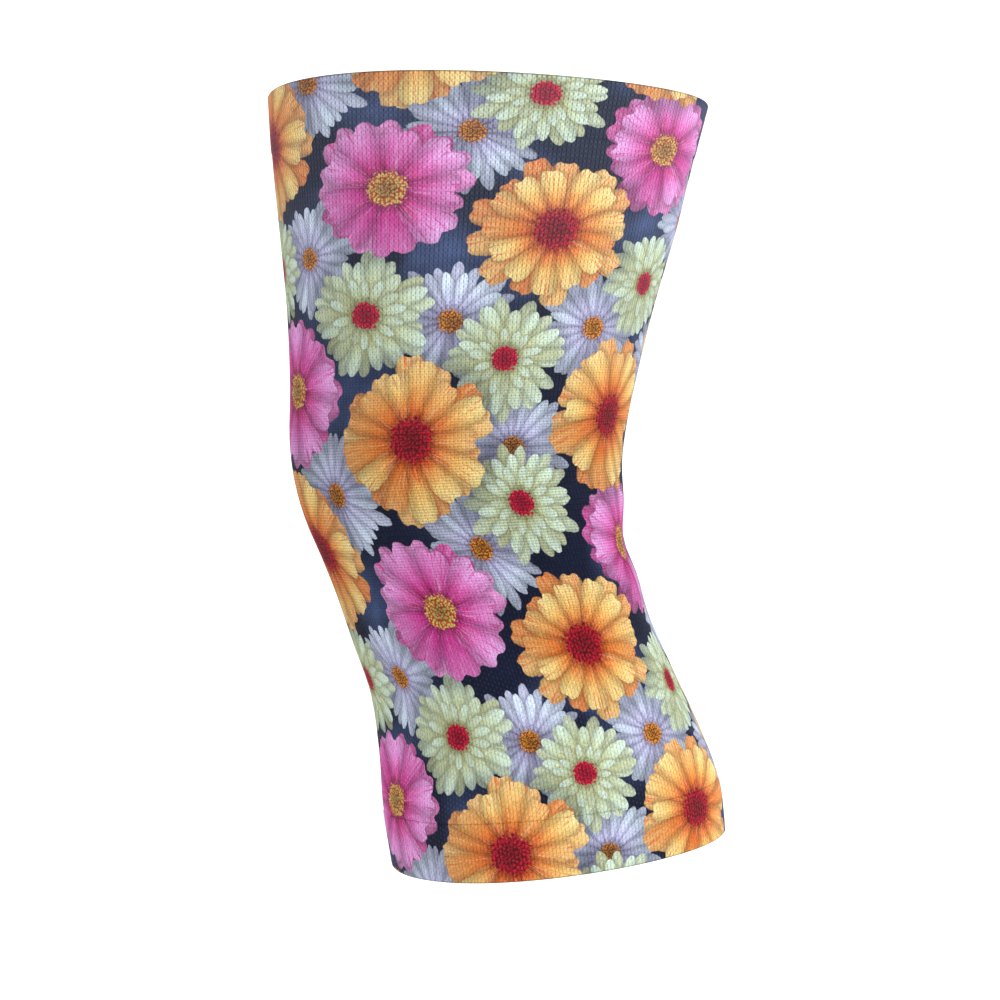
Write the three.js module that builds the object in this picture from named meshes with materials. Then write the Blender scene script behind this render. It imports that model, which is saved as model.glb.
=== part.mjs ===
// Knitted knee sleeve in the form that it takes on a slightly bent leg.
// Millimetres, +Z up the leg, kneecap side towards -Y, origin in the middle of the knee.

import * as THREE from 'three';

// Reach of the sleeve above and below the middle of the knee, down its front
const THIGH_REACH = 146;
const CALF_REACH = 149;

// Depth from front to back and width from side to side where the fit is set
const THIGH_DEPTH = 169;
const THIGH_WIDTH = 150;
const KNEE_DEPTH = 126;
const KNEE_WIDTH = 108;
const SHIN_DEPTH = 115;
const SHIN_WIDTH = 101;
const CALF_DEPTH = 129;
const CALF_WIDTH = 111;

// Degrees that the thigh and the lower leg lean back from upright, which make the knee's bend
const THIGH_LEAN = 4.6;
const SHIN_LEAN = 14.1;

// Degrees that each rim drops from the front to the back
const TOP_RIM_DROP = 1.1;
const BOTTOM_RIM_DROP = -6.6;

// Fabric: a single knitted wall, doubled where it is turned in at each end
const KNIT_WALL = 1.2;
const WELT_WALL = 2.3;
const WELT_HEIGHT = 22;
const WELT_RISE = 0.25;
const LINKING_GAP = 0.3;

// Facets round the sleeve, up the body, up a welt and over a folded edge
const SIDES = 56;
const BODY_STEPS = 32;
const WELT_STEPS = 3;
const FOLD_STEPS = 4;

// The four named sections, from the thigh rim to the calf
// wide_forward: how far the widest line lies ahead of the middle, as a share of the half depth
const STATIONS = [
  { depth: THIGH_DEPTH, width: THIGH_WIDTH, wide_forward: 0.17 },
  { depth: KNEE_DEPTH, width: KNEE_WIDTH, wide_forward: 0.02 },
  { depth: SHIN_DEPTH, width: SHIN_WIDTH, wide_forward: 0 },
  { depth: CALF_DEPTH, width: CALF_WIDTH, wide_forward: 0.1 },
];

// Sections from the calf rim up to the thigh rim
// up: share of THIGH_REACH above the knee, or of CALF_REACH below it
// station: 0 thigh rim, 1 knee, 2 below the knee, 3 calf, and blends between
// back: share of the offset that the lean gives the middle line at that end
// front_square and back_square: 2 is an ellipse, more is squarer
const SECTIONS = [
  { up: -1.0, station: 2.95, back: 1.03, front_square: 2.0, back_square: 2.0 },
  { up: -0.85, station: 3.0, back: 0.94, front_square: 2.0, back_square: 2.05 },
  { up: -0.7, station: 2.55, back: 0.81, front_square: 2.0, back_square: 2.1 },
  { up: -0.55, station: 2.1, back: 0.635, front_square: 2.0, back_square: 2.4 },
  { up: -0.42, station: 1.93, back: 0.45, front_square: 2.1, back_square: 2.9 },
  { up: -0.3, station: 1.65, back: 0.33, front_square: 2.15, back_square: 3.2 },
  { up: -0.2, station: 1.6, back: 0.18, front_square: 2.2, back_square: 3.1 },
  { up: -0.1, station: 1.2, back: 0.075, front_square: 2.3, back_square: 2.8 },
  { up: 0.0, station: 1.0, back: 0.0, front_square: 2.4, back_square: 2.5 },
  { up: 0.1, station: 0.93, back: -0.02, front_square: 2.4, back_square: 2.3 },
  { up: 0.25, station: 0.835, back: 0.165, front_square: 2.3, back_square: 2.2 },
  { up: 0.45, station: 0.65, back: 0.4, front_square: 2.15, back_square: 2.1 },
  { up: 0.65, station: 0.4, back: 0.62, front_square: 2.05, back_square: 2.05 },
  { up: 0.85, station: 0.18, back: 0.78, front_square: 2.0, back_square: 2.0 },
  { up: 1.0, station: 0.03, back: 0.95, front_square: 2.0, back_square: 2.0 },
];

// Forms of the leg that show through, alike on both sides
// round: degrees from the kneecap, wide: its spread in degrees, up and tall: shares as above
// rise: height of the form as a share of KNEE_DEPTH, negative for a dent
const FORMS = [
  { name: 'kneecap side', up: 0.1, tall: 0.2, round: 44, wide: 16, rise: -0.028 },
  { name: 'beside the kneecap tendon', up: -0.21, tall: 0.12, round: 31, wide: 13, rise: -0.018 },
  { name: 'flat beside the shin', up: -0.66, tall: 0.3, round: 40, wide: 20, rise: -0.018 },
  { name: 'thigh muscle', up: 0.5, tall: 0.22, round: 54, wide: 24, rise: 0.018 },
  { name: 'tendon behind the knee', up: 0.12, tall: 0.28, round: 140, wide: 17, rise: 0.014 },
  { name: 'hollow behind the knee', up: -0.26, tall: 0.15, round: 180, wide: 26, rise: -0.028 },
  { name: 'head of the calf', up: -0.62, tall: 0.28, round: 146, wide: 24, rise: 0.014 },
];

const reachAt = (up) => (up < 0 ? CALF_REACH : THIGH_REACH);
const leanAt = (up) => THREE.MathUtils.degToRad(up < 0 ? SHIN_LEAN : THIGH_LEAN);
const signedPower = (value, power) => Math.sign(value) * Math.abs(value) ** power;

function named(station, size) {
  const below = Math.min(Math.floor(station), STATIONS.length - 2);
  return THREE.MathUtils.lerp(STATIONS[below][size], STATIONS[below + 1][size], station - below);
}

// Smooth run of every section value up the sleeve
const sectionAt = new THREE.CubicInterpolant(
  SECTIONS.map(({ up }) => up),
  SECTIONS.flatMap(({ up, station, back, front_square, back_square }) => [
    named(station, 'depth'),
    named(station, 'width'),
    named(station, 'wide_forward'),
    back * reachAt(up) * Math.tan(leanAt(up)),
    front_square,
    back_square,
  ]),
  6,
);

function formHeight(up, degrees) {
  const fromKneecap = Math.abs(degrees > 180 ? degrees - 360 : degrees);
  return FORMS.reduce((sum, form) => {
    const along = (up - form.up) / form.tall;
    const around = (fromKneecap - form.round) / form.wide;
    return sum + form.rise * KNEE_DEPTH * Math.exp(-along * along - around * around);
  }, 0);
}

// Outer surface of the body: height above the knee at the front, and turns from the kneecap
function outerPoint(height, turn) {
  const up = height / reachAt(height);
  const [depth, width, wideForward, back, frontSquare, backSquare] = sectionAt.evaluate(
    THREE.MathUtils.clamp(up, -1, 1),
  );
  const angle = turn * 2 * Math.PI;
  const ahead = Math.cos(angle);
  const aside = Math.sin(angle);
  const power = 2 / (ahead < 0 ? backSquare : frontSquare);
  const form = formHeight(up, turn * 360);
  const x = (width / 2) * signedPower(aside, power) * (1 + wideForward * ahead) + form * aside;
  const y = back - (depth / 2) * signedPower(ahead, power) - form * ahead;
  const share = (height + CALF_REACH) / (CALF_REACH + THIGH_REACH);
  const drop = THREE.MathUtils.degToRad(THREE.MathUtils.lerp(BOTTOM_RIM_DROP, TOP_RIM_DROP, share));
  const fromFront = y - (back - depth / 2);
  return new THREE.Vector3(x, y, height - fromFront * Math.tan(drop));
}

// Point at a depth below the outer surface, square to it
function fabricPoint(height, turn, inset) {
  const step = 0.002;
  const around = outerPoint(height, (turn + step) % 1).sub(outerPoint(height, (turn - step + 1) % 1));
  const along = outerPoint(height + 1, turn).sub(outerPoint(height - 1, turn));
  const outward = around.cross(along).normalize();
  return outerPoint(height, turn).addScaledVector(outward, -inset);
}

// Closed wall: a loop of heights and insets carried once round the leg
function wallGeometry(loop) {
  const positions = [];
  const indices = [];
  for (let side = 0; side < SIDES; side++) {
    for (const { height, inset } of loop) {
      positions.push(...fabricPoint(height, side / SIDES, inset).toArray());
    }
  }
  for (let side = 0; side < SIDES; side++) {
    const here = side * loop.length;
    const next = ((side + 1) % SIDES) * loop.length;
    for (let i = 0; i < loop.length; i++) {
      const j = (i + 1) % loop.length;
      indices.push(here + i, here + j, next + j, here + i, next + j, next + i);
    }
  }
  const geometry = new THREE.BufferGeometry();
  geometry.setAttribute('position', new THREE.Float32BufferAttribute(positions, 3));
  geometry.setIndex(indices);
  geometry.computeVertexNormals();
  return geometry;
}

// Heights in even steps, both ends included
const steps = (from, to, count) =>
  Array.from({ length: count + 1 }, (_, i) => THREE.MathUtils.lerp(from, to, i / count));

const BODY_TOP = THIGH_REACH - WELT_HEIGHT - LINKING_GAP;
const BODY_FOOT = -CALF_REACH + WELT_HEIGHT + LINKING_GAP;

function bodyLoop() {
  const outside = steps(BODY_TOP, BODY_FOOT, BODY_STEPS).map((height) => ({ height, inset: 0 }));
  const inside = outside.toReversed().map(({ height }) => ({ height, inset: KNIT_WALL }));
  return [...outside, ...inside];
}

// A welt runs up its outside from the linking course, over the folded rim and down its inside
function weltLoop(rim, towardsRim) {
  const radius = WELT_WALL / 2;
  const linking = rim - towardsRim * WELT_HEIGHT;
  const foldCentre = rim - towardsRim * radius;
  const run = steps(linking, foldCentre, WELT_STEPS);
  const outside = run.map((height) => ({ height, inset: -WELT_RISE }));
  const inside = run.toReversed().map((height) => ({ height, inset: WELT_WALL - WELT_RISE }));
  const fold = steps(0, Math.PI, FOLD_STEPS)
    .slice(1, -1)
    .map((angle) => ({
      height: foldCentre + towardsRim * radius * Math.sin(angle),
      inset: radius - WELT_RISE - radius * Math.cos(angle),
    }));
  const loop = [...outside, ...fold, ...inside];
  return towardsRim > 0 ? loop.reverse() : loop;
}

// Printed nylon and elastane knit, by its mean colour
function piece(name, loop, colour) {
  const material = new THREE.MeshStandardMaterial({ color: colour, roughness: 0.78, metalness: 0 });
  const mesh = new THREE.Mesh(wallGeometry(loop), material);
  mesh.name = name;
  return mesh;
}

const sleeve = new THREE.Group();
sleeve.name = 'knee_sleeve';
sleeve.add(
  piece('top_welt', weltLoop(THIGH_REACH, 1), '#a99888'),
  piece('knit_body', bodyLoop(), '#9f8281'),
  piece('bottom_welt', weltLoop(-CALF_REACH, -1), '#9c898a'),
);

export default sleeve;
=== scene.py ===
"""Knitted knee sleeve in its worn form: printed body, two turned welts and a plain studio."""
import math

import bmesh
import bpy
import numpy as np
from bpy.props import FloatProperty, FloatVectorProperty, IntProperty, PointerProperty
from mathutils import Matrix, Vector


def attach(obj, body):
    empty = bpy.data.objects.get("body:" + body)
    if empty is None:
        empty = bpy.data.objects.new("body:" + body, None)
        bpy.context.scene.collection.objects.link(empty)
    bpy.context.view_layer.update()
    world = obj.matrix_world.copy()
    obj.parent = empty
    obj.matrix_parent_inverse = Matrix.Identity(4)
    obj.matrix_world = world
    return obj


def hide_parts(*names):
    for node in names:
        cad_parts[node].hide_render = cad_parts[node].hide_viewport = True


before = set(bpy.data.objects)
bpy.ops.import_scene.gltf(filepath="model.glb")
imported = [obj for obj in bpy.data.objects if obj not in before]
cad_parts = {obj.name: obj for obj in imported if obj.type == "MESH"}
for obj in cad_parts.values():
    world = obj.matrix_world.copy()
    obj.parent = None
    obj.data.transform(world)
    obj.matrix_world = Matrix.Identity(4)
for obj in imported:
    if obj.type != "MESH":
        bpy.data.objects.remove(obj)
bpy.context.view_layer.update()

bl_info = {
    "name": "Knee Sleeve",
    "version": (1, 0, 0),
    "blender": (4, 5, 0),
    "location": "3D View > Sidebar > Knee Sleeve",
    "description": "Builds a printed knitted knee sleeve with turned welts",
    "category": "Add Mesh",
}

MM = 0.001

# Share of the half depth by which the widest line lies ahead of the middle
# thigh rim, knee, below the knee and calf
WIDE_FORWARD = (0.17, 0.02, 0.0, 0.1)

# Sections from the calf rim up to the thigh rim
# share of the reach, station between the named sections, share of the lean,
# squareness at the front and at the back
SECTIONS = (
    (-1.0, 2.95, 1.03, 2.0, 2.0),
    (-0.85, 3.0, 0.94, 2.0, 2.05),
    (-0.7, 2.55, 0.81, 2.0, 2.1),
    (-0.55, 2.1, 0.635, 2.0, 2.4),
    (-0.42, 1.93, 0.45, 2.1, 2.9),
    (-0.3, 1.65, 0.33, 2.15, 3.2),
    (-0.2, 1.6, 0.18, 2.2, 3.1),
    (-0.1, 1.2, 0.075, 2.3, 2.8),
    (0.0, 1.0, 0.0, 2.4, 2.5),
    (0.1, 0.93, -0.02, 2.4, 2.3),
    (0.25, 0.835, 0.165, 2.3, 2.2),
    (0.45, 0.65, 0.4, 2.15, 2.1),
    (0.65, 0.4, 0.62, 2.05, 2.05),
    (0.85, 0.18, 0.78, 2.0, 2.0),
    (1.0, 0.03, 0.95, 2.0, 2.0),
)

# Leg forms that show through, alike on both sides
# height share and its spread, degrees from the kneecap and their spread,
# rise as a share of the knee's depth
FORMS = (
    (0.1, 0.2, 44, 16, -0.028),
    (-0.21, 0.12, 31, 13, -0.018),
    (-0.66, 0.3, 40, 20, -0.018),
    (0.5, 0.22, 54, 24, 0.018),
    (0.12, 0.28, 140, 17, 0.014),
    (-0.26, 0.15, 180, 26, -0.028),
    (-0.62, 0.28, 146, 24, 0.014),
)

# Knit: three columns of vertices to a wale, the first of them in the groove
COLUMNS_PER_WALE = 3
RIB_PROFILE = np.array((-1.0, 0.5, 0.5))
COURSES = 154
BODY_ROWS = 50
WELT_ROWS = 9
FOLD_ROWS = 9

# Rows beside a linking course, and the share of its pull that each takes in the body and in a welt
EDGE_STEPS = np.array((0.0, 0.2, 0.5, 1.0, 2.0)) * MM
BODY_PULL = np.array((1.0, 0.55, 0.25, 0.06, 0.0))
WELT_RELEASE = np.array((0.0, 0.35, 0.6, 0.85, 1.0))

# The bent knee draws the courses apart: by how much, at what height, and over what spread
KNEE_DRAW = 0.13
KNEE_DRAW_HEIGHT = -10 * MM
KNEE_DRAW_SPREAD = 60 * MM

# How finely the form is measured: round a girth, up the fabric, and across a point for its slope
GIRTH_SAMPLES = 1441
FABRIC_SAMPLES = 600
SLOPE_TURN = 0.002
SLOPE_HEIGHT = 1 * MM
WELD_DISTANCE = 0.01 * MM

# One repeat of the print on the unstretched fabric, in millimetres
REPEAT_WIDE = 195.0
REPEAT_TALL = 150.0
REPEATS_ROUND = 2
REPEATS_DOWN = 2
HALF_DROP = 75.0

# Radii from its centre that a bloom is drawn within, and a place that no bloom reaches
BLOOM_MARGIN = 1.3
OUTSIDE_ANY_BLOOM = 9.0

# How the print takes on the yarn
PRINT_STRENGTH = 0.86
PRINT_GAMMA = 1.07
STITCH_SHIFT = 0.012
STRETCHED_YARN = (0.5, 0.56, 0.7)
# Pale stitch tops: partly the white yarn core, partly painted highlight
CORE_AND_HIGHLIGHT_YARN = (0.78, 0.79, 0.85)
SHADOW_SHADE = 0.4
PATCH_SCALE = 32.0

# Yarn: scale of its grain, shade of the plain yarn's grain, the painted shade that a hole and the
# folded rim take off its brightness, its sheen and gloss, and the bump of a stitch
YARN_SCALE = 1900.0
PLAIN_GRAIN = 0.86
PRINTED_HOLE_SHADE = -0.45
PLAIN_HOLE_SHADE = -0.3
RIM_SHADE = -0.55
YARN_SHEEN = 0.02
YARN_SHEEN_ROUGHNESS = 0.5
YARN_SPECULAR = 0.1
STITCH_BUMP = 0.6
STITCH_BUMP_HEIGHT = 0.3 * MM

# Share of the height where the calf's loose stitches turn into even rows, and the wales in a step
LOOSE_BELOW = 0.2
EVEN_ABOVE = 0.4
LOOSE_STAGGER = 3.0

# Studio, in metres: the floor's flat radius, the radius of its curve up, its drop below the knee,
# its facets and its finish, and the strength of the light all round
FLOOR_RADIUS = 2.5
FLOOR_CURVE = 3.5
FLOOR_DROP = 0.45
FLOOR_CURVE_STEPS = 8
FLOOR_SIDES = 64
FLOOR_WHITE = 0.93
FLOOR_ROUGHNESS = 0.9
FLOOR_GLOW = 0.3
AIR_LIGHT = 1.0

# Lamps: name, place and width in metres, and watts
LAMPS = (
    ("key", (0.8, 1.3, 0.9), 1.2, 27),
    ("front fill", (0.9, -1.5, 0.4), 1.2, 1),
)

# Camera: degrees round from the front, degrees up, distance, metres to a pixel at the knee, shift
VIEW_AZIMUTH = 95
VIEW_ELEVATION = 2
VIEW_DISTANCE = 0.75
VIEW_SCALE = 0.387 * MM
VIEW_SHIFT = (0.041, -0.020)
IMAGE_PIXELS = 1000
SENSOR_WIDTH = 36

# Blooms of one repeat: across, down and radius
CHART = {
    "aster": (
        (50, 2, 24), (46, 67, 23), (98, 92, 24), (102, 22, 23),
        (149, 95, 24), (193, 50, 23), (197, 108, 24), (122, 138, 23),
    ),
    "dahlia": ((17, 69, 24), (69, 89, 25), (122, 7, 23), (117, 106, 23), (172, 77, 23)),
    "cosmos": ((30, 115, 30), (77, 43, 29), (167, 24, 29)),
    "marigold": ((22, 21, 32), (85, 134, 32), (130, 58, 31), (163, 128, 31)),
}


def ink(code):
    """Linear colour of a hex code"""
    parts = [int(code[i:i + 2], 16) / 255 for i in (1, 3, 5)]
    return tuple(p / 12.92 if p <= 0.04045 else ((p + 0.055) / 1.055) ** 2.4 for p in parts)


# Blooms by kind, from the lowest layer of the print to the highest: petals in a ring, how uneven
# and how full they are, how blunt and how notched their tips, and the collar's and disc's radius
SPECIES = {
    "aster": {
        "Petals": 17, "Uneven": 0.2, "Fullness": 0.52, "Blunt": 3.0, "Notch": 0.0,
        "Collar": 0.0, "Disc": 0.18,
        "Heart": ink("#a6a2c6"), "Body": ink("#c0cce0"),
        "Tip": ink("#c8d6e4"), "Vein": ink("#b2b0ce"),
        "Button": ink("#c0872c"), "Speck": ink("#7a3a18"),
    },
    "dahlia": {
        "Petals": 14, "Uneven": 0.22, "Fullness": 0.58, "Blunt": 2.2, "Notch": 0.0,
        "Collar": 0.58, "Disc": 0.2,
        "Heart": ink("#a0985a"), "Body": ink("#b6c6a4"),
        "Tip": ink("#bed0c6"), "Vein": ink("#aaae84"),
        "Button": ink("#b3123a"), "Speck": ink("#760a24"),
    },
    "cosmos": {
        "Petals": 9, "Uneven": 0.16, "Fullness": 0.64, "Blunt": 5.0, "Notch": 0.12,
        "Collar": 0.0, "Disc": 0.22,
        "Heart": ink("#b01464"), "Body": ink("#d070b8"),
        "Tip": ink("#d0a0d0"), "Vein": ink("#bc2886"),
        "Button": ink("#b4a45e"), "Speck": ink("#9c4420"),
    },
    "marigold": {
        "Petals": 13, "Uneven": 0.2, "Fullness": 0.62, "Blunt": 4.0, "Notch": 0.06,
        "Collar": 0.0, "Disc": 0.24,
        "Heart": ink("#bc2c0a"), "Body": ink("#dcb05a"),
        "Tip": ink("#d6c68c"), "Vein": ink("#cc621c"),
        "Button": ink("#a30f28"), "Speck": ink("#5e0614"),
    },
}


# Sizes and colours that a user would change

def length(name, value, description):
    return FloatProperty(
        name=name,
        description=description,
        default=value * MM,
        min=0.0,
        unit="LENGTH",
        subtype="DISTANCE",
    )


def lean(name, value, description):
    return FloatProperty(
        name=name,
        description=description,
        default=math.radians(value),
        subtype="ANGLE",
    )


def colour(name, code, description):
    return FloatVectorProperty(
        name=name,
        description=description,
        default=ink(code),
        size=3,
        min=0.0,
        max=1.0,
        subtype="COLOR",
    )


class SleeveFit(bpy.types.PropertyGroup):
    """Worn size of the sleeve"""

    thigh_reach: length("Thigh Reach", 146, "From the middle of the knee up to the thigh rim")
    calf_reach: length("Calf Reach", 149, "From the middle of the knee down to the calf rim")
    thigh_depth: length("Thigh Depth", 169, "Front to back at the thigh rim")
    thigh_width: length("Thigh Width", 150, "Side to side at the thigh rim")
    knee_depth: length("Knee Depth", 126, "Front to back at the knee")
    knee_width: length("Knee Width", 108, "Side to side at the knee")
    shin_depth: length("Shin Depth", 115, "Front to back below the knee")
    shin_width: length("Shin Width", 101, "Side to side below the knee")
    calf_depth: length("Calf Depth", 129, "Front to back at the calf")
    calf_width: length("Calf Width", 111, "Side to side at the calf")
    thigh_lean: lean("Thigh Lean", 4.6, "How far the thigh leans back from upright")
    shin_lean: lean("Shin Lean", 14.1, "How far the lower leg leans back from upright")
    top_rim_drop: lean("Top Rim Drop", 1.1, "How far the thigh rim drops from front to back")
    bottom_rim_drop: lean("Bottom Rim Drop", -6.6, "How far the calf rim drops from front to back")


class SleeveKnit(bpy.types.PropertyGroup):
    """Fabric of the sleeve"""

    wall: length("Knit Wall", 1.2, "Thickness of the single fabric")
    welt_wall: length("Welt Wall", 2.3, "Thickness of the doubled fabric of a welt")
    welt_height: length("Welt Height", 22, "Height of a welt from its linking course to its rim")
    welt_rise: length("Welt Rise", 0.25, "How far a welt stands out from the body")
    top_linking: length("Top Linking", 0.12, "Depth of the groove at the thigh welt")
    bottom_linking: length("Bottom Linking", 0.35, "Depth of the groove at the calf welt")
    rib_relief: length("Rib Relief", 0.09, "Height of a wale above its groove")
    wales: IntProperty(
        name="Wales",
        description="Columns of stitches round the sleeve",
        default=276,
        min=12,
    )
    rest_girth: length("Rest Girth", 390, "Girth of the fabric before it is stretched over the leg")


class SleevePrint(bpy.types.PropertyGroup):
    """Colours of the fabric"""

    ground: colour("Ground", "#0e1836", "Colour between the blooms")
    slate: colour("Slate", "#465780", "Paler patches of the ground")
    inside: colour("Inside", "#d9dae0", "Colour of the unprinted yarn")


# Leg form

def run_through(knots, values, at):
    """Smooth run through the values at the knots, with no curvature at either end"""
    first = np.clip(np.searchsorted(knots, at, side="right") - 1, 0, len(knots) - 2)
    second = first + 1
    span = knots[second] - knots[first]
    at_start = first == 0
    at_end = second == len(knots) - 1
    before = np.where(at_start, second, first - 1)
    after = np.where(at_end, first, second + 1)
    weight_before = span / 2 / (knots[first] - knots[before])
    weight_after = span / 2 / (knots[after] - knots[second])
    p = (at - knots[first]) / span
    shares = (
        -weight_before * p**3 + 2 * weight_before * p**2 - weight_before * p,
        (1 + weight_before) * p**3
        + (-1.5 - 2 * weight_before) * p**2
        + (-0.5 + weight_before) * p
        + 1,
        (-1 - weight_after) * p**3 + (1.5 + weight_after) * p**2 + 0.5 * p,
        weight_after * p**3 - weight_after * p**2,
    )
    return sum(s[..., None] * values[i] for s, i in zip(shares, (before, first, second, after)))


class LegForm:
    """Outer surface of the body of the sleeve, by height at the front and turns from the kneecap"""

    def __init__(self, fit):
        self.fit = fit
        stations = np.array((
            (fit.thigh_depth, fit.thigh_width, WIDE_FORWARD[0]),
            (fit.knee_depth, fit.knee_width, WIDE_FORWARD[1]),
            (fit.shin_depth, fit.shin_width, WIDE_FORWARD[2]),
            (fit.calf_depth, fit.calf_width, WIDE_FORWARD[3]),
        ))
        table = np.array(SECTIONS)
        self.knots = table[:, 0]
        places = np.arange(len(stations))
        named = [np.interp(table[:, 1], places, stations[:, i]) for i in range(3)]
        below = self.knots < 0
        reach = np.where(below, fit.calf_reach, fit.thigh_reach)
        back = table[:, 2] * reach * np.tan(np.where(below, fit.shin_lean, fit.thigh_lean))
        self.values = np.stack([*named, back, table[:, 3], table[:, 4]], axis=1)

    def relief(self, up, degrees):
        from_kneecap = np.where(degrees > 180, 360 - degrees, degrees)
        total = 0.0
        for height, tall, around, wide, rise in FORMS:
            spread = -((up - height) / tall) ** 2 - ((from_kneecap - around) / wide) ** 2
            total = total + rise * self.fit.knee_depth * np.exp(spread)
        return total

    def outer(self, height, turn):
        """Points of the surface, for arrays of heights and turns"""
        fit = self.fit
        up = height / np.where(height < 0, fit.calf_reach, fit.thigh_reach)
        row = run_through(self.knots, self.values, np.clip(up, -1, 1))
        depth, width, wide_forward, back, front_square, back_square = np.moveaxis(row, -1, 0)
        turn = np.mod(turn, 1)
        ahead = np.cos(turn * 2 * np.pi)
        aside = np.sin(turn * 2 * np.pi)
        power = 2 / np.where(ahead < 0, back_square, front_square)
        form = self.relief(up, turn * 360)
        rounded_ahead = np.sign(ahead) * np.abs(ahead) ** power
        rounded_aside = np.sign(aside) * np.abs(aside) ** power
        x = width / 2 * rounded_aside * (1 + wide_forward * ahead) + form * aside
        y = back - depth / 2 * rounded_ahead - form * ahead
        share = (height + fit.calf_reach) / (fit.calf_reach + fit.thigh_reach)
        drop = fit.bottom_rim_drop + (fit.top_rim_drop - fit.bottom_rim_drop) * share
        z = height - (y - (back - depth / 2)) * np.tan(drop)
        return np.stack([x, y, z], axis=-1)

    def even_turns(self, heights, columns):
        """Turns that share the girth evenly among the wales at each height, and the girths"""
        fine = np.linspace(0, 1, GIRTH_SAMPLES)
        turns = np.empty((len(heights), columns + 1))
        girths = np.empty(len(heights))
        for i, height in enumerate(heights):
            points = self.outer(np.full_like(fine, height), fine)
            lengths = np.linalg.norm(np.diff(points, axis=0), axis=1)
            run = np.concatenate([[0], np.cumsum(lengths)])
            turns[i] = np.interp(np.linspace(0, run[-1], columns + 1), run, fine)
            girths[i] = run[-1]
        return turns, girths

    def fabric(self, heights, insets, turns):
        """Points at a depth below the surface, square to it"""
        height = np.repeat(heights[:, None], turns.shape[1], axis=1)
        around = self.outer(height, turns + SLOPE_TURN) - self.outer(height, turns - SLOPE_TURN)
        along = self.outer(height + SLOPE_HEIGHT, turns) - self.outer(height - SLOPE_HEIGHT, turns)
        outward = np.cross(around, along)
        outward /= np.linalg.norm(outward, axis=-1, keepdims=True)
        return self.outer(height, turns) - outward * insets[..., None]


# Meshes

def wrapped_mesh(name, heights, insets, fit, knit):
    """Grid with a row for each height and inset, wrapped once round the leg and welded"""
    columns = knit.wales * COLUMNS_PER_WALE
    last_row = len(heights) - 1
    bm = bmesh.new()
    bm.loops.layers.uv.new("UVMap")
    bmesh.ops.create_grid(
        bm, x_segments=columns, y_segments=last_row, size=0.5, calc_uvs=True
    )
    mesh = bpy.data.meshes.new(name)
    bm.to_mesh(mesh)
    bm.free()

    flat = np.empty(len(mesh.vertices) * 3, dtype=np.float32)
    mesh.vertices.foreach_get("co", flat)
    flat = flat.reshape(-1, 3)
    column = np.rint((flat[:, 0] + 0.5) * columns).astype(int)
    row = np.rint((flat[:, 1] + 0.5) * last_row).astype(int)

    form = LegForm(fit)
    turns, girths = form.even_turns(heights, columns)
    ribs = np.tile(RIB_PROFILE, knit.wales + 1)[:columns + 1] * knit.rib_relief
    points = form.fabric(heights, insets[:, None] - ribs[None, :], turns)
    mesh.vertices.foreach_set("co", points[row, column].astype(np.float32).ravel())

    uv = np.empty(len(mesh.loops) * 2, dtype=np.float32)
    mesh.uv_layers["UVMap"].data.foreach_get("uv", uv)
    uv = uv.reshape(-1, 2)
    loop_row = np.rint(uv[:, 1] * last_row).astype(int)
    uv[:, 1] = fabric_share(heights, fit)[loop_row]
    mesh.uv_layers["UVMap"].data.foreach_set("uv", uv.ravel())
    chart_blooms(mesh, uv, fit, knit)
    stretch = mesh.attributes.new("stretch", "FLOAT", "CORNER")
    tension = (girths / knit.rest_girth)[loop_row]
    stretch.data.foreach_set("value", tension.astype(np.float32))
    drawn = mesh.attributes.new("drawn", "FLOAT", "CORNER")
    drawn.data.foreach_set("value", knee_draw(heights)[loop_row].astype(np.float32))

    bm = bmesh.new()
    bm.from_mesh(mesh)
    bmesh.ops.remove_doubles(bm, verts=bm.verts, dist=WELD_DISTANCE)
    bm.to_mesh(mesh)
    bm.free()
    mesh.shade_smooth()
    return mesh


def knee_draw(heights):
    """How fully the bent knee draws the courses apart at each height, from 0 to 1"""
    return np.exp(-((heights - KNEE_DRAW_HEIGHT) / KNEE_DRAW_SPREAD) ** 2)


def fabric_share(heights, fit):
    """Share of the fabric's courses that lie below each height"""
    fine = np.linspace(-fit.calf_reach, fit.thigh_reach, FABRIC_SAMPLES)
    run = np.concatenate([[0], np.cumsum(1 / (1 + KNEE_DRAW * knee_draw(fine[1:])))])
    return np.interp(heights, fine, run / run[-1])


def chart_blooms(mesh, uv, fit, knit):
    """Writes, for each layer of the print, where a face's corners lie on the nearest bloom"""
    sides = 4
    tall = (fit.calf_reach + fit.thigh_reach) / MM
    place = np.stack([uv[:, 0] * knit.rest_girth / MM, (1 - uv[:, 1]) * tall], axis=1)
    centres = place.reshape(-1, sides, 2).mean(axis=1)
    for layer, chart in CHART.items():
        blooms = []
        for across in range(-1, REPEATS_ROUND + 1):
            drop = HALF_DROP * (across % 2)
            for down in range(-1, REPEATS_DOWN + 1):
                for number, (x, y, radius) in enumerate(chart, 1):
                    x_here = x + across * REPEAT_WIDE
                    y_here = y + down * REPEAT_TALL + drop
                    blooms.append((x_here, y_here, radius, number))
        blooms = np.array(blooms)
        away = np.linalg.norm(centres[:, None, :] - blooms[None, :, :2], axis=2) / blooms[:, 2]
        nearest = away.argmin(axis=1)
        near = away.min(axis=1) < BLOOM_MARGIN
        bloom = blooms[nearest]
        local = (place.reshape(-1, sides, 2) - bloom[:, None, :2]) / bloom[:, None, 2:3]
        values = np.empty((len(centres), sides, 3), dtype=np.float32)
        values[..., 0] = local[..., 0]
        values[..., 1] = -local[..., 1]
        values[..., 2] = bloom[:, None, 3]
        values[~near] = (OUTSIDE_ANY_BLOOM, OUTSIDE_ANY_BLOOM, 0)
        bloom_place = mesh.attributes.new("bloom_" + layer, "FLOAT_VECTOR", "CORNER")
        bloom_place.data.foreach_set("vector", values.ravel())


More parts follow.
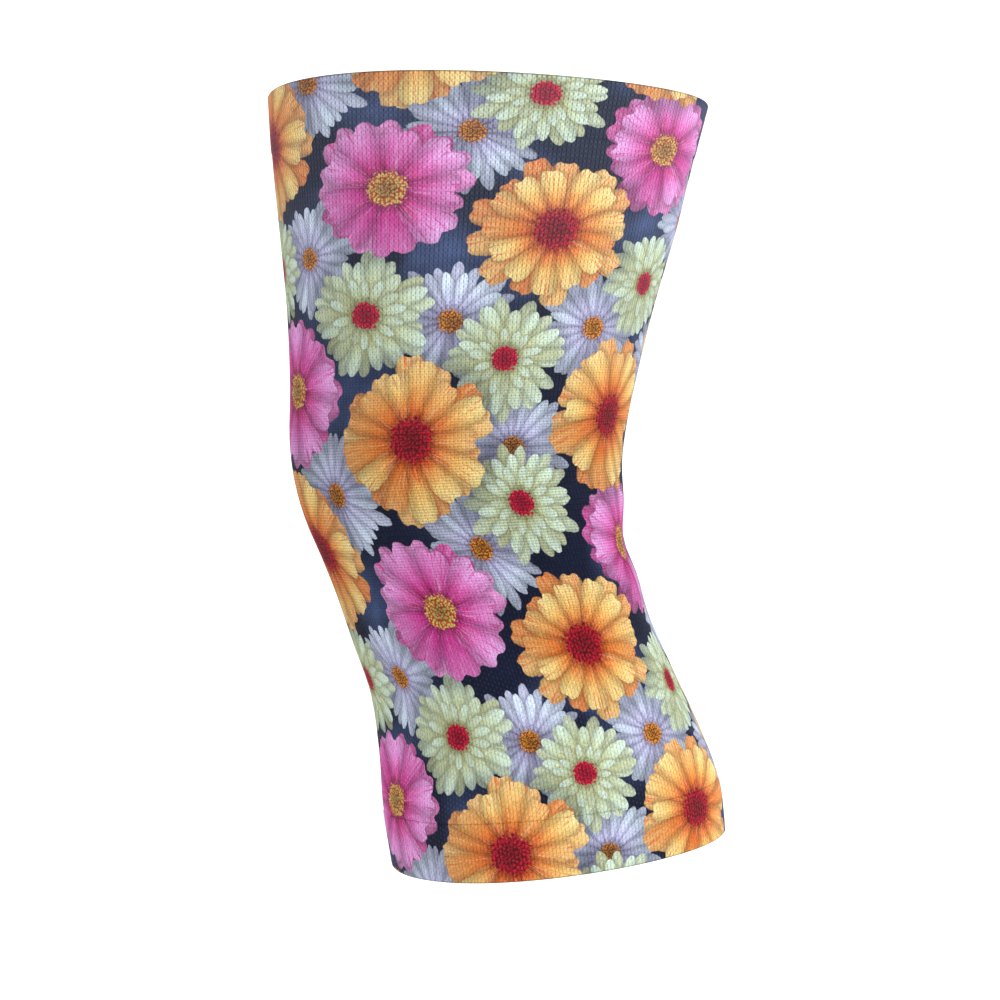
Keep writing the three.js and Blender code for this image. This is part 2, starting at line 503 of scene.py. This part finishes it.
def add_piece(name, mesh, materials):
    piece = bpy.data.objects.new(name, mesh)
    bpy.context.scene.collection.objects.link(piece)
    for material in materials:
        mesh.materials.append(material)
    return piece


# Materials

class Nodes:
    """Short calls that add and join the nodes of one material or node group"""

    def __init__(self, tree):
        self.tree = tree

    def add(self, kind, **settings):
        node = self.tree.nodes.new(kind)
        for name, value in settings.items():
            setattr(node, name, value)
        return node

    def put(self, socket, value):
        if isinstance(value, bpy.types.NodeSocket):
            self.tree.links.new(value, socket)
        elif isinstance(value, tuple) and len(value) == 3 and socket.type == "RGBA":
            socket.default_value = (*value, 1.0)
        else:
            socket.default_value = value

    def fill(self, node, values):
        for socket, value in zip(node.inputs, values):
            self.put(socket, value)
        return node.outputs[0]

    def math(self, operation, *values, clamp=False):
        return self.fill(self.add("ShaderNodeMath", operation=operation, use_clamp=clamp), values)

    def ramp(self, value, low, high, start=0.0, end=1.0):
        """Smooth change from start to end while the value goes from low to high"""
        node = self.add("ShaderNodeMapRange", interpolation_type="SMOOTHSTEP")
        return self.fill(node, (value, low, high, start, end))

    def mix(self, share, first, second):
        node = self.add("ShaderNodeMix", data_type="RGBA")
        self.put(node.inputs[0], share)
        self.put(node.inputs[6], first)
        self.put(node.inputs[7], second)
        return node.outputs[2]

    def scale(self, vector, factor):
        node = self.add("ShaderNodeVectorMath", operation="SCALE")
        self.put(node.inputs["Vector"], vector)
        self.put(node.inputs["Scale"], factor)
        return node.outputs[0]

    def combine(self, *values):
        return self.fill(self.add("ShaderNodeCombineXYZ"), values)

    def separate(self, vector):
        node = self.add("ShaderNodeSeparateXYZ")
        self.put(node.inputs[0], vector)
        return node.outputs

    def noise(self, vector, scale, detail=0.0, dimensions="2D"):
        node = self.add("ShaderNodeTexNoise", noise_dimensions=dimensions)
        self.put(node.inputs["Vector"], vector)
        self.put(node.inputs["Scale"], scale)
        self.put(node.inputs["Detail"], detail)
        return node.outputs["Fac"]

    def use(self, group, **values):
        node = self.add("ShaderNodeGroup", node_tree=group)
        for name, value in values.items():
            self.put(node.inputs[name], value)
        return node.outputs


def new_group(name, inputs, outputs):
    """Empty node group with its inputs and outputs, by name and kind of socket"""
    group = bpy.data.node_groups.new(name, "ShaderNodeTree")
    for label, kind in inputs:
        group.interface.new_socket(label, in_out="INPUT", socket_type="NodeSocket" + kind)
    for label, kind in outputs:
        group.interface.new_socket(label, in_out="OUTPUT", socket_type="NodeSocket" + kind)
    nodes = Nodes(group)
    return group, nodes, nodes.add("NodeGroupInput").outputs, nodes.add("NodeGroupOutput").inputs


def whorl_group():
    """One ring of petals"""
    group, n, into, out = new_group(
        "Whorl",
        [(label, "Float") for label in (
            "Radius", "Turn", "Seed", "Petals", "Reach", "Uneven", "Fullness", "Blunt", "Notch"
        )],
        [(label, "Float") for label in ("Mask", "Clear", "Along", "Across", "Tone", "Streak")],
    )
    start = n.math("MULTIPLY", into["Seed"], 0.37)
    spin = n.math("MULTIPLY_ADD", into["Turn"], into["Petals"], start)
    cell = n.math("FLOOR", spin)
    petal = n.math("FLOORED_MODULO", cell, into["Petals"])
    offset = n.math("SUBTRACT", n.math("SUBTRACT", spin, cell), 0.5)
    chance = n.add("ShaderNodeTexWhiteNoise", noise_dimensions="2D")
    n.put(chance.inputs["Vector"], n.combine(petal, into["Seed"], 0.0))
    lean_by, short_by, tone = n.separate(chance.outputs["Color"])
    leaning = n.math("MULTIPLY", n.math("SUBTRACT", lean_by, 0.5), into["Uneven"])
    bent = n.math("MULTIPLY_ADD", leaning, 1.6, offset)
    shortened = n.math("SUBTRACT", 1.0, n.math("MULTIPLY", into["Uneven"], short_by))
    reach = n.math("MULTIPLY", into["Reach"], shortened)
    dent = n.math("EXPONENT", n.math("MULTIPLY", n.math("MULTIPLY", bent, bent), -45.0))
    notched = n.math("SUBTRACT", 1.0, n.math("MULTIPLY", dent, into["Notch"]))
    tip = n.math("MULTIPLY", reach, notched)
    along = n.math("DIVIDE", into["Radius"], n.math("MAXIMUM", tip, 0.001))
    taper = n.math("SUBTRACT", 1.0, n.math("POWER", along, into["Blunt"]), clamp=True)
    width = n.math("MULTIPLY", into["Fullness"], n.math("SQRT", taper))
    side = n.math("ABSOLUTE", bent)
    clear = n.math("SUBTRACT", width, side)
    n.put(out["Mask"], n.ramp(clear, 0.0, 0.05))
    n.put(out["Clear"], clear)
    n.put(out["Along"], along)
    n.put(out["Across"], n.math("DIVIDE", side, n.math("MAXIMUM", width, 0.02), clamp=True))
    n.put(out["Tone"], tone)
    across_streak = n.math("MULTIPLY_ADD", bent, 16.0, n.math("MULTIPLY", petal, 27.3))
    own_streak = n.math("MULTIPLY", into["Seed"], 9.1)
    along_streak = n.math("MULTIPLY_ADD", into["Radius"], 2.4, own_streak)
    n.put(out["Streak"], n.noise(n.combine(across_streak, along_streak, 0.0), 1.0, 1.0))
    return group


def bloom_group(whorl):
    """One printed bloom: two whorls, a short collar of petals and a stippled disc"""
    colours = ("Heart", "Body", "Tip", "Vein", "Button", "Speck")
    numbers = ("Petals", "Uneven", "Fullness", "Blunt", "Notch", "Collar", "Disc")
    group, n, into, out = new_group(
        "Bloom",
        [
            ("Place", "Vector"),
            *((label, "Float") for label in numbers),
            *((label, "Color") for label in colours),
        ],
        [("Colour", "Color"), ("Mask", "Float"), ("Shadow", "Float")],
    )
    x, y, number = n.separate(into["Place"])
    seed = n.math("ROUND", number)
    span = n.math("SQRT", n.math("ADD", n.math("MULTIPLY", x, x), n.math("MULTIPLY", y, y)))
    wobble = n.noise(n.combine(n.math("ADD", x, seed), y, 0.0), 2.4)
    radius = n.math("MULTIPLY_ADD", n.math("SUBTRACT", wobble, 0.5), 0.07, span)
    turn = n.math("DIVIDE", n.math("ARCTAN2", y, x), 2 * math.pi)
    shape = {label: into[label] for label in ("Petals", "Uneven", "Fullness", "Blunt", "Notch")}

    def ring(seed_step, reach):
        ring_seed = n.math("ADD", seed, seed_step)
        return n.use(whorl, Radius=radius, Turn=turn, Seed=ring_seed, Reach=reach, **shape)

    def petal_colour(ring_out, depth, heart_share=0.0):
        streak = n.math("SUBTRACT", ring_out["Streak"], 0.5)
        along = n.math("MULTIPLY_ADD", streak, 0.9, ring_out["Along"])
        tint = n.mix(n.ramp(along, 0.22, 0.76), into["Heart"], into["Body"])
        tint = n.mix(n.ramp(along, 0.45, 1.05), tint, into["Tip"])
        tint = n.mix(n.ramp(ring_out["Tone"], 0.45, 1.0, 0.0, 0.6), tint, into["Vein"])
        tint = n.mix(n.ramp(streak, 0.05, 0.22, 0.0, 0.7), tint, into["Vein"])
        tint = n.mix(n.ramp(streak, -0.24, -0.06, 0.55, 0.0), tint, into["Tip"])
        tint = n.mix(heart_share, tint, into["Heart"])
        edge = n.math("POWER", ring_out["Across"], 2.5)
        shade = n.math("SUBTRACT", 1.0, n.math("MULTIPLY", edge, 0.18))
        shade = n.math("MULTIPLY", shade, n.math("MULTIPLY_ADD", ring_out["Tone"], -0.12, 1.03))
        return n.scale(tint, n.math("MULTIPLY", shade, depth))

    under = ring(1.0, 1.0)
    over = ring(2.35, 0.94)
    collar = ring(3.7, into["Collar"])
    under_dark = n.ramp(n.math("MULTIPLY", over["Clear"], -1.0), 0.0, 0.3, 0.68, 0.98)
    tint = petal_colour(under, under_dark, 0.22)
    over_dark = n.ramp(n.math("MULTIPLY", collar["Clear"], -1.0), 0.0, 0.35, 0.74, 1.0)
    tint = n.mix(over["Mask"], tint, petal_colour(over, over_dark))
    tint = n.mix(collar["Mask"], tint, petal_colour(collar, 0.92))
    ragged = n.math("SUBTRACT", n.noise(n.combine(x, y, 0.0), 26.0), 0.5)
    disc_edge = n.math("MULTIPLY_ADD", ragged, 0.11, span)
    disc_gap = n.math("SUBTRACT", disc_edge, into["Disc"])
    tint = n.scale(tint, n.ramp(disc_gap, 0.0, 0.12, 0.62, 1.0))
    stipple = n.add("ShaderNodeTexVoronoi", voronoi_dimensions="2D")
    n.put(stipple.inputs["Vector"], into["Place"])
    n.put(stipple.inputs["Scale"], 30.0)
    button = n.mix(n.ramp(stipple.outputs["Distance"], 0.2, 0.6), into["Button"], into["Speck"])
    button = n.scale(button, n.ramp(n.math("DIVIDE", span, into["Disc"]), 0.2, 0.9, 0.62, 1.1))
    disc = n.ramp(disc_gap, -0.015, 0.01, 1.0, 0.0)
    tint = n.mix(disc, tint, button)
    lit = n.math("MULTIPLY_ADD", n.math("ADD", x, y), 0.07, 1.0)
    n.put(out["Colour"], n.scale(tint, lit))
    n.put(out["Mask"], n.math("MAXIMUM", n.math("MAXIMUM", under["Mask"], over["Mask"]), disc))
    n.put(out["Shadow"], n.ramp(radius, 0.86, 1.12, 0.45, 0.0))
    return group


def print_group(bloom, ground, slate):
    """All-over print: ground, then the blooms layer by layer"""
    group, n, into, out = new_group("Floral Print", [("Shift", "Vector")], [("Colour", "Color")])
    patches = n.noise(n.add("ShaderNodeTexCoord").outputs["Object"], PATCH_SCALE, 0.0, "3D")
    tint = n.mix(n.ramp(patches, 0.42, 0.68), ground, slate)
    for layer, look in SPECIES.items():
        place = n.add("ShaderNodeAttribute", attribute_name="bloom_" + layer).outputs["Vector"]
        shifted = n.add("ShaderNodeVectorMath", operation="ADD")
        flower = n.use(bloom, Place=n.fill(shifted, (place, into["Shift"])), **look)
        tint = n.mix(flower["Shadow"], tint, tuple(c * SHADOW_SHADE for c in ground))
        tint = n.mix(flower["Mask"], tint, flower["Colour"])
    n.put(out["Colour"], tint)
    return group


def stitch_group(wales):
    """Plain knit: painted shade in dashes between the wales and in rows at the drawn knee, which
    also shape the bump, pale knots on the wales, partly white yarn core and partly painted
    highlight, and painted shade along the folded rims
    """
    group, n, into, out = new_group(
        "Stitches",
        [("Stretch", "Float"), ("Drawn", "Float")],
        [
            ("Height", "Float"),
            ("Hole", "Float"),
            ("Core And Highlight", "Float"),
            ("Chance", "Vector"),
            ("Rim", "Float"),
        ],
    )
    u, v, _ = n.separate(n.add("ShaderNodeUVMap", uv_map="UVMap").outputs[0])
    loose = n.ramp(v, LOOSE_BELOW, EVEN_ABOVE, 1.0, 0.0)
    across = n.math("MULTIPLY", u, float(wales))

    def column(shift):
        """Chance of the stitch at the nearest column, and how far its course's middle is"""
        number = n.math("FLOOR", n.math("ADD", across, shift))
        stagger = n.math("FRACT", n.math("DIVIDE", number, LOOSE_STAGGER))
        step = n.math("MULTIPLY", stagger, loose)
        course = n.math("MULTIPLY_ADD", v, float(COURSES), step)
        chance = n.add("ShaderNodeTexWhiteNoise", noise_dimensions="2D")
        n.put(chance.inputs["Vector"], n.combine(number, n.math("FLOOR", course), 0.0))
        from_course = n.math("ABSOLUTE", n.math("SUBTRACT", n.math("FRACT", course), 0.5))
        return chance.outputs, from_course

    from_middle = n.math("ABSOLUTE", n.math("SUBTRACT", n.math("FRACT", across), 0.5))
    hole_chance, from_hole = column(0.5)
    knot_chance, from_knot = column(0.0)
    n.put(out["Chance"], knot_chance["Color"])
    groove = n.ramp(from_middle, 0.3, 0.44)
    crease = n.ramp(from_middle, 0.04, 0.18, 1.0, 0.0)
    dash = n.math("MULTIPLY", groove, n.ramp(from_hole, 0.24, 0.42, 1.0, 0.0))
    dash = n.math("MULTIPLY", dash, n.math("MULTIPLY_ADD", hole_chance["Value"], 0.2, 0.72))
    dash = n.math("MULTIPLY", dash, n.math("MULTIPLY_ADD", into["Drawn"], -0.6, 1.0))
    dash = n.math("MULTIPLY", dash, n.math("MULTIPLY_ADD", loose, -0.4, 1.0))
    nick = n.math("MULTIPLY", crease, n.ramp(from_knot, 0.12, 0.3))
    nick = n.math("MULTIPLY", nick, n.math("MULTIPLY_ADD", into["Stretch"], 0.28, 0.14))
    from_half = n.math("ABSOLUTE", n.math("SUBTRACT", from_knot, 0.25))
    row_depth = n.math("MULTIPLY_ADD", into["Drawn"], 0.6, 0.03)
    rows = n.math("MULTIPLY", n.ramp(from_half, 0.07, 0.2), row_depth)
    line = n.math("MULTIPLY", groove, n.math("MULTIPLY_ADD", into["Stretch"], 0.1, 0.08))
    # Painted shade in the dashes, nicks, grooves and knee rows; the same mask shapes the bump
    hole = n.math("ADD", n.math("MAXIMUM", dash, nick), n.math("ADD", line, rows), clamp=True)
    n.put(out["Hole"], hole)
    n.put(out["Height"], n.math("SUBTRACT", 1.0, hole))
    # Pale knots: partly the white yarn core that shows when stretched, partly painted highlight
    knot_across = n.ramp(from_middle, 0.04, 0.34, 1.0, 0.0)
    knot = n.math("MULTIPLY", knot_across, n.ramp(from_knot, 0.05, 0.3, 1.0, 0.0))
    knot = n.math("MULTIPLY", knot, n.math("MULTIPLY_ADD", knot_chance["Value"], 0.6, 0.4))
    stretched = n.math("MULTIPLY_ADD", into["Stretch"], 0.14, 0.12)
    showing = n.math("ADD", n.math("MULTIPLY", loose, 0.2), stretched)
    n.put(out["Core And Highlight"], n.math("MULTIPLY", knot, showing))
    # Painted shade along the folded rims
    from_rim = n.math("MINIMUM", v, n.math("SUBTRACT", 1.0, v))
    n.put(out["Rim"], n.ramp(from_rim, 0.0008, 0.0034, 1.0, 0.0))
    return group


GROUPS = {}


def shared_groups(colours, knit):
    """Node groups that the materials share, built once"""
    if not GROUPS:
        bloom = bloom_group(whorl_group())
        GROUPS["print"] = print_group(bloom, tuple(colours.ground), tuple(colours.slate))
        GROUPS["stitches"] = stitch_group(knit.wales)
    return GROUPS


def fabric_material(name, printed, inside, groups):
    """Elastic knit, printed or plain"""
    material = bpy.data.materials.new(name)
    material.use_nodes = True
    n = Nodes(material.node_tree)
    shader = n.tree.nodes["Principled BSDF"]
    tension = n.add("ShaderNodeAttribute", attribute_name="stretch").outputs["Fac"]
    opened = n.ramp(tension, 0.92, 1.25)
    drawn = n.add("ShaderNodeAttribute", attribute_name="drawn").outputs["Fac"]
    knit = n.use(groups["stitches"], Stretch=opened, Drawn=drawn)
    yarn = n.noise(n.add("ShaderNodeTexCoord").outputs["Object"], YARN_SCALE, 1.0, "3D")
    if printed:
        by_stitch = n.add("ShaderNodeVectorMath", operation="MULTIPLY")
        shift = n.fill(by_stitch, (knit["Chance"], (STITCH_SHIFT, STITCH_SHIFT, 0.0)))
        tint = n.use(groups["print"], Shift=shift)["Colour"]
        tint = n.fill(n.add("ShaderNodeGamma"), (tint, PRINT_GAMMA))
        tint = n.scale(tint, PRINT_STRENGTH)
        tint = n.mix(n.math("MULTIPLY", opened, 0.04), tint, STRETCHED_YARN)
        # Pale yarn core on the knots, partly painted highlight
        tint = n.mix(n.math("MULTIPLY", knit["Core And Highlight"], 0.06), tint, CORE_AND_HIGHLIGHT_YARN)
    else:
        tint = n.mix(yarn, tuple(inside), tuple(c * PLAIN_GRAIN for c in inside))
    # Painted shade: the holes and grooves darken the yarn's colour
    dark = n.math("MULTIPLY_ADD", knit["Hole"], PRINTED_HOLE_SHADE if printed else PLAIN_HOLE_SHADE, 1.0)
    # Painted shade along the folded rims
    dark = n.math("MULTIPLY", dark, n.math("MULTIPLY_ADD", knit["Rim"], RIM_SHADE, 1.0))
    # Painted highlight: the knots are brightened
    dark = n.math("MULTIPLY", dark, n.math("MULTIPLY_ADD", knit["Core And Highlight"], 0.55, 0.97))
    fleck = n.math("MULTIPLY_ADD", n.separate(knit["Chance"])[2], 0.12, 0.49)
    speckle = n.math("ADD", n.math("MULTIPLY", yarn, 0.9), fleck)
    tint = n.scale(tint, n.math("MULTIPLY", dark, speckle))
    n.put(shader.inputs["Base Color"], tint)
    n.put(shader.inputs["Roughness"], n.math("MULTIPLY_ADD", knit["Hole"], 0.15, 0.72))
    shader.inputs["Sheen Weight"].default_value = YARN_SHEEN
    shader.inputs["Sheen Roughness"].default_value = YARN_SHEEN_ROUGHNESS
    shader.inputs["Specular IOR Level"].default_value = YARN_SPECULAR
    bump = n.add("ShaderNodeBump")
    bump.inputs["Strength"].default_value = STITCH_BUMP
    bump.inputs["Distance"].default_value = STITCH_BUMP_HEIGHT
    n.put(bump.inputs["Height"], knit["Height"])
    n.put(shader.inputs["Normal"], bump.outputs[0])
    return material


# Operators

class SLEEVE_OT_body(bpy.types.Operator):
    """Knit the printed tube between the two welts"""

    bl_idname = "sleeve.body"
    bl_label = "Knit Body"

    def execute(self, context):
        scene = context.scene
        fit, knit, colours = scene.sleeve_fit, scene.sleeve_knit, scene.sleeve_print
        foot = -fit.calf_reach + knit.welt_height
        top = fit.thigh_reach - knit.welt_height
        middle = np.linspace(foot + EDGE_STEPS[-1], top - EDGE_STEPS[-1], BODY_ROWS)[1:-1]
        heights = np.concatenate([foot + EDGE_STEPS, middle, (top - EDGE_STEPS)[::-1]])
        insets = np.concatenate([
            BODY_PULL * knit.bottom_linking,
            np.zeros(len(middle)),
            BODY_PULL[::-1] * knit.top_linking,
        ])
        mesh = wrapped_mesh("knit body", heights, insets, fit, knit)
        groups = shared_groups(colours, knit)
        piece = add_piece("knit_body_cloth", mesh, (
            fabric_material("printed knit", True, colours.inside, groups),
            fabric_material("plain knit", False, colours.inside, groups),
        ))
        wall = piece.modifiers.new("wall", "SOLIDIFY")
        wall.thickness = knit.wall
        wall.offset = -1.0
        wall.material_offset = 1
        wall.material_offset_rim = 1
        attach(piece, "root")
        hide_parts("knit_body")
        return {"FINISHED"}


class SLEEVE_OT_welts(bpy.types.Operator):
    """Turn and link the doubled welt at each end"""

    bl_idname = "sleeve.welts"
    bl_label = "Turned Welts"

    def execute(self, context):
        scene = context.scene
        fit, knit, colours = scene.sleeve_fit, scene.sleeve_knit, scene.sleeve_print
        groups = shared_groups(colours, knit)
        radius = knit.welt_wall / 2
        fold = np.linspace(0, math.pi, FOLD_ROWS + 2)[1:-1]
        for node, rim, way, groove in (
            ("top_welt", fit.thigh_reach, 1, knit.top_linking),
            ("bottom_welt", -fit.calf_reach, -1, knit.bottom_linking),
        ):
            pull = groove - WELT_RELEASE * (groove + knit.welt_rise)
            linking = rim - way * knit.welt_height
            fold_centre = rim - way * radius
            outside = np.linspace(linking + way * EDGE_STEPS[-1], fold_centre, WELT_ROWS)[1:]
            inside = np.linspace(fold_centre, linking, WELT_ROWS)
            heights = np.concatenate([
                linking + way * EDGE_STEPS,
                outside,
                fold_centre + way * radius * np.sin(fold),
                inside,
                [linking],
            ])
            insets = np.concatenate([
                pull,
                np.full(len(outside), -knit.welt_rise),
                radius - knit.welt_rise - radius * np.cos(fold),
                np.full(len(inside), knit.welt_wall - knit.welt_rise),
                pull[:1],
            ])
            if way < 0:
                heights, insets = heights[::-1], insets[::-1]
            label = node.replace("_", " ")
            mesh = wrapped_mesh(label, heights, insets, fit, knit)
            printed = fabric_material("printed " + label, True, colours.inside, groups)
            piece = add_piece(node + "_cloth", mesh, (printed,))
            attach(piece, "root")
            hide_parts(node)
        return {"FINISHED"}


class SLEEVE_OT_stage(bpy.types.Operator):
    """Set the pale floor, the soft studio light and the camera"""

    bl_idname = "sleeve.stage"
    bl_label = "Studio Stage"

    def execute(self, context):
        scene = context.scene
        scene.view_settings.view_transform = "Standard"
        self.floor()
        self.lights(scene)
        self.camera(scene)
        return {"FINISHED"}

    def floor(self):
        """Wide round floor that curves up far away"""
        bm = bmesh.new()
        outline = [bm.verts.new((0, 0, 0))]
        for i in range(FLOOR_CURVE_STEPS + 1):
            angle = math.radians(90 * i / FLOOR_CURVE_STEPS)
            outward = FLOOR_RADIUS + FLOOR_CURVE * math.sin(angle)
            outline.append(bm.verts.new((outward, 0, FLOOR_CURVE - FLOOR_CURVE * math.cos(angle))))
        for inner, outer in zip(outline, outline[1:]):
            bm.edges.new((inner, outer))
        bmesh.ops.spin(
            bm,
            geom=bm.verts[:] + bm.edges[:],
            cent=(0, 0, 0),
            axis=(0, 0, 1),
            angle=2 * math.pi,
            steps=FLOOR_SIDES,
            use_merge=True,
        )
        bmesh.ops.remove_doubles(bm, verts=bm.verts, dist=0.1 * MM)
        bmesh.ops.translate(bm, verts=bm.verts, vec=(0, 0, -FLOOR_DROP))
        bmesh.ops.recalc_face_normals(bm, faces=bm.faces)
        mesh = bpy.data.meshes.new("studio floor")
        bm.to_mesh(mesh)
        bm.free()
        mesh.shade_smooth()
        material = bpy.data.materials.new("pale floor")
        material.use_nodes = True
        shader = material.node_tree.nodes["Principled BSDF"]
        shader.inputs["Base Color"].default_value = (FLOOR_WHITE, FLOOR_WHITE, FLOOR_WHITE, 1)
        shader.inputs["Roughness"].default_value = FLOOR_ROUGHNESS
        shader.inputs["Emission Color"].default_value = (1, 1, 1, 1)
        shader.inputs["Emission Strength"].default_value = FLOOR_GLOW
        add_piece("studio_floor", mesh, (material,))

    def lights(self, scene):
        """White air all round, and soft square lamps"""
        world = bpy.data.worlds.new("studio air")
        world.use_nodes = True
        air = world.node_tree.nodes["Background"].inputs
        air["Color"].default_value = (1, 1, 1, 1)
        air["Strength"].default_value = AIR_LIGHT
        scene.world = world
        for name, place, size, power in LAMPS:
            lamp = bpy.data.lights.new(name, "AREA")
            lamp.shape = "SQUARE"
            lamp.size = size
            lamp.energy = power
            light = bpy.data.objects.new(name, lamp)
            light.location = place
            light.rotation_euler = (-Vector(place)).to_track_quat("-Z", "Y").to_euler()
            scene.collection.objects.link(light)

    def camera(self, scene):
        """Camera at the photo's angle, distance and framing"""
        azimuth = math.radians(VIEW_AZIMUTH)
        elevation = math.radians(VIEW_ELEVATION)
        view = bpy.data.cameras.new("photo view")
        view.sensor_width = SENSOR_WIDTH
        view.lens = VIEW_DISTANCE / VIEW_SCALE / IMAGE_PIXELS * SENSOR_WIDTH
        view.shift_x, view.shift_y = VIEW_SHIFT
        camera = bpy.data.objects.new("photo view", view)
        towards = Vector((
            math.sin(azimuth) * math.cos(elevation),
            -math.cos(azimuth) * math.cos(elevation),
            math.sin(elevation),
        ))
        camera.location = towards * VIEW_DISTANCE
        camera.rotation_euler = (-towards).to_track_quat("-Z", "Y").to_euler()
        scene.collection.objects.link(camera)
        scene.camera = camera


class SLEEVE_PT_panel(bpy.types.Panel):
    """Lists the steps that build the sleeve"""

    bl_idname = "SLEEVE_PT_panel"
    bl_label = "Knee Sleeve"
    bl_space_type = "VIEW_3D"
    bl_region_type = "UI"
    bl_category = "Knee Sleeve"

    def draw(self, context):
        for step in (SLEEVE_OT_body, SLEEVE_OT_welts, SLEEVE_OT_stage):
            self.layout.operator(step.bl_idname)
        scene = context.scene
        for settings in (scene.sleeve_fit, scene.sleeve_knit, scene.sleeve_print):
            box = self.layout.box()
            for name in settings.__annotations__:
                box.prop(settings, name)


CLASSES = (
    SleeveFit,
    SleeveKnit,
    SleevePrint,
    SLEEVE_OT_body,
    SLEEVE_OT_welts,
    SLEEVE_OT_stage,
    SLEEVE_PT_panel,
)


def register():
    for cls in CLASSES:
        bpy.utils.register_class(cls)
    bpy.types.Scene.sleeve_fit = PointerProperty(type=SleeveFit)
    bpy.types.Scene.sleeve_knit = PointerProperty(type=SleeveKnit)
    bpy.types.Scene.sleeve_print = PointerProperty(type=SleevePrint)


def unregister():
    del bpy.types.Scene.sleeve_fit
    del bpy.types.Scene.sleeve_knit
    del bpy.types.Scene.sleeve_print
    for cls in reversed(CLASSES):
        bpy.utils.unregister_class(cls)


def main():
    register()
    bpy.ops.sleeve.body()
    bpy.ops.sleeve.welts()
    bpy.ops.sleeve.stage()


if __name__ == "__main__":
    main()
